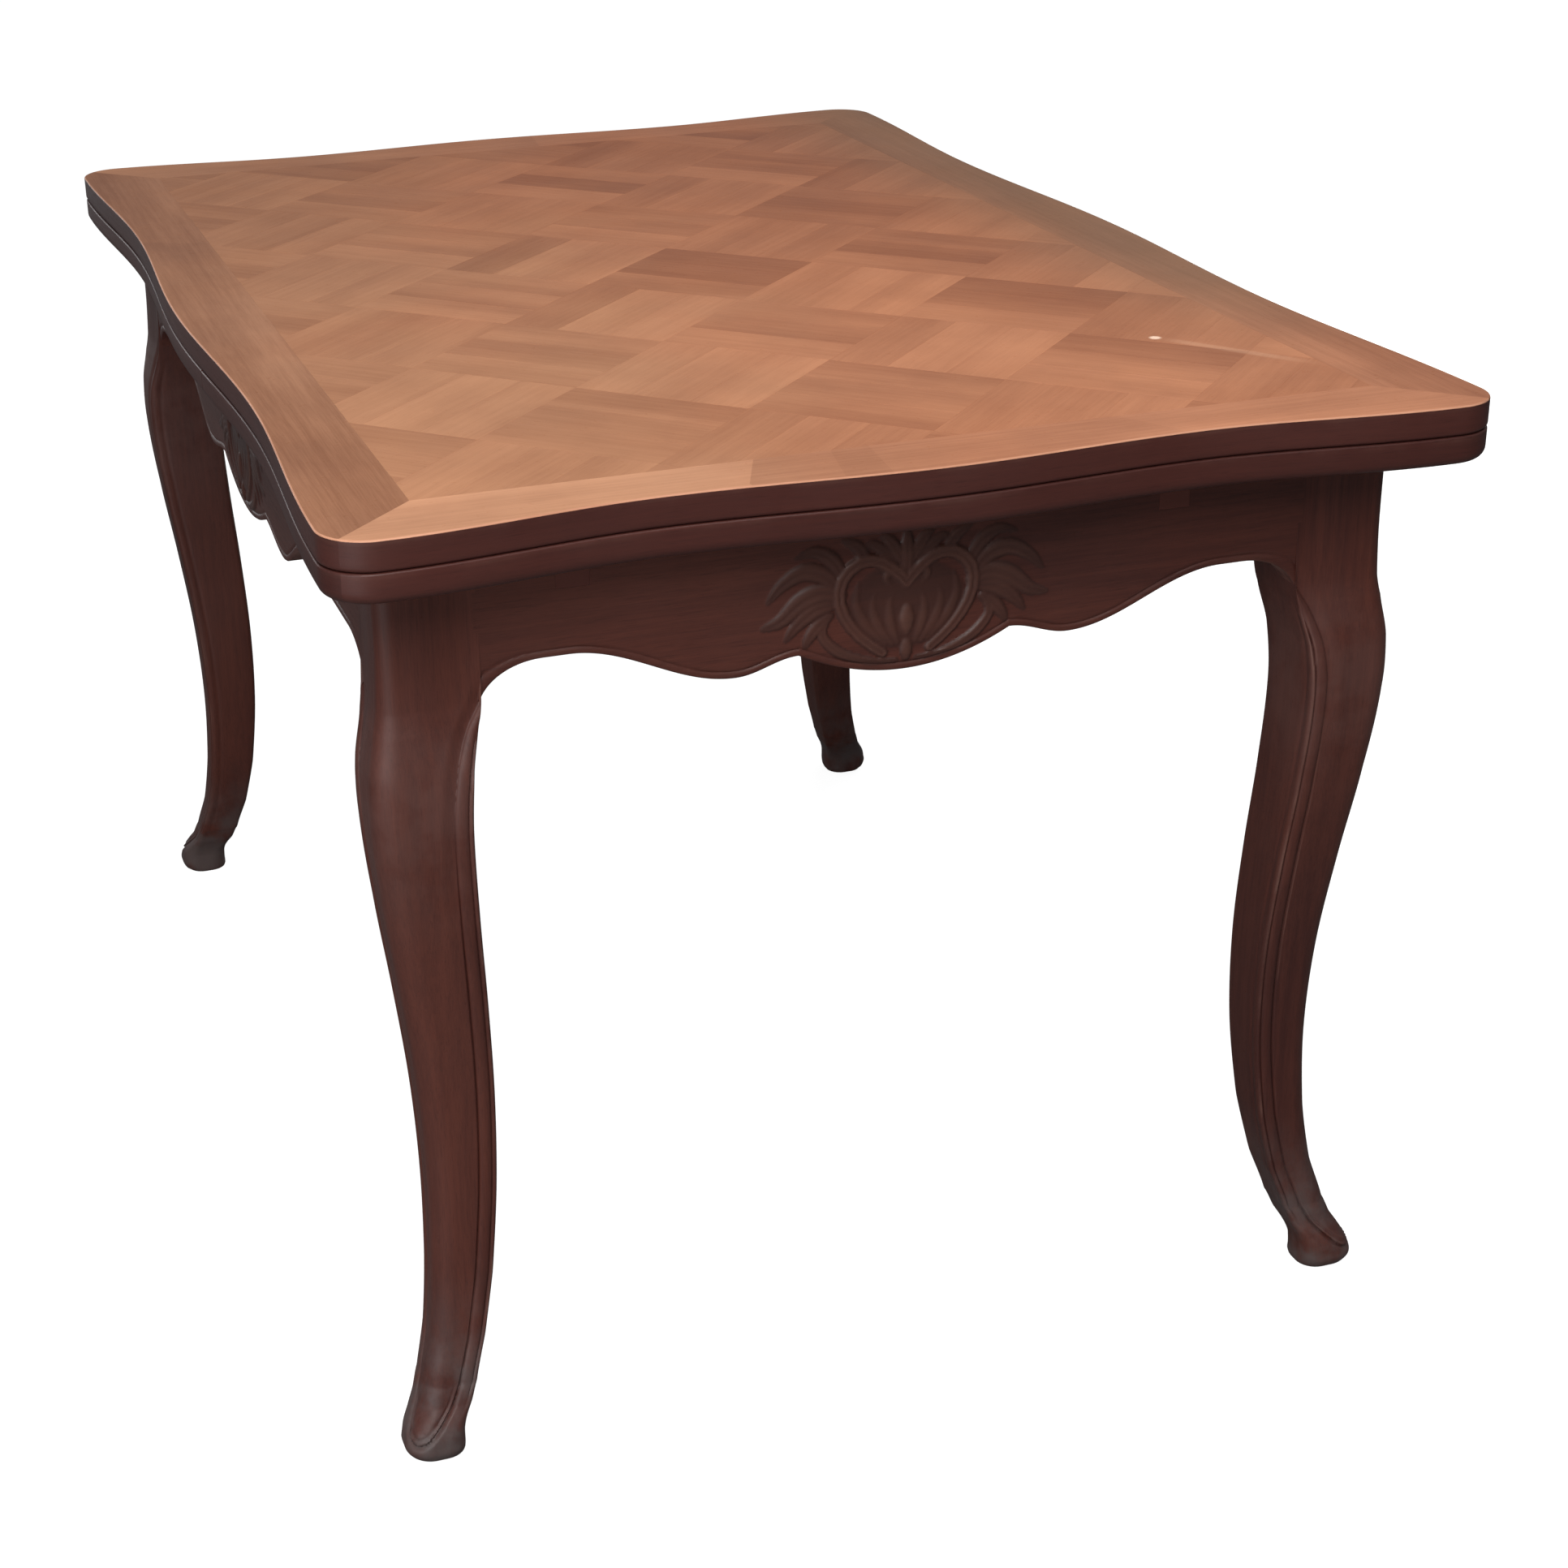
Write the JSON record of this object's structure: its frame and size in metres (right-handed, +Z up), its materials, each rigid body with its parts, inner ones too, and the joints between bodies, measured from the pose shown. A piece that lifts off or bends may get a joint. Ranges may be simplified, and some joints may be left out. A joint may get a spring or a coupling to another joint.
{
  "type": "extending table",
  "caption": "Extending table with a serpentine parquetry top, two draw leaves on lopers under it, shaped aprons and cabriole legs.",
  "frame": {"origin": "on the floor under the middle of the closed top", "axes": "+X across the table, +Y along it towards end B, +Z up"},
  "size_m": [0.85, 1.25, 0.755],
  "materials": {
    "dark_wood": "satin",
    "parquet_field": "satin",
    "parquet_banding": "satin",
    "inner_wood": "matte",
    "steel_screw": "satin"
  },
  "bodies": {
    "frame": {"leg_a_left": "dark_wood", "leg_a_right": "dark_wood", "leg_b_left": "dark_wood", "leg_b_right": "dark_wood", "end_apron_a": "dark_wood", "end_apron_b": "dark_wood", "side_apron_left": "dark_wood", "side_apron_right": "dark_wood", "centre_rail_a": "inner_wood", "centre_rail_b": "inner_wood", "centre_board": "inner_wood", "centre_board_screws": "steel_screw", "corner_blocks": "inner_wood", "corner_block_screws": "steel_screw"},
    "leaf_a": {"leaf_a_core": "inner_wood", "leaf_a_edging": "dark_wood", "leaf_a_banding": "parquet_banding", "leaf_a_field": "parquet_field", "leaf_a_loper_left": "inner_wood", "leaf_a_loper_right": "inner_wood", "leaf_a_stop_pegs": "inner_wood", "leaf_a_screws": "steel_screw"},
    "leaf_b": {"leaf_b_core": "inner_wood", "leaf_b_edging": "dark_wood", "leaf_b_banding": "parquet_banding", "leaf_b_field": "parquet_field", "leaf_b_loper_left": "inner_wood", "leaf_b_loper_right": "inner_wood", "leaf_b_stop_pegs": "inner_wood", "leaf_b_screws": "steel_screw"},
    "top": {"top_core": "inner_wood", "top_edging": "dark_wood", "top_banding": "parquet_banding", "top_field": "parquet_field", "guide_pegs": "inner_wood"}
  },
  "joints": [
    {"name": "leaf_a_draw", "type": "slide", "parent": "frame", "child": "leaf_a", "axis": [0, -1, 0], "range_m": [0, 0.52]},
    {"name": "leaf_b_draw", "type": "slide", "parent": "frame", "child": "leaf_b", "axis": [0, 1, 0], "range_m": [0, 0.52]},
    {"name": "top_lift", "type": "slide", "parent": "frame", "child": "top", "axis": [0, 0, 1], "range_m": [0, 0.025]}
  ]
}
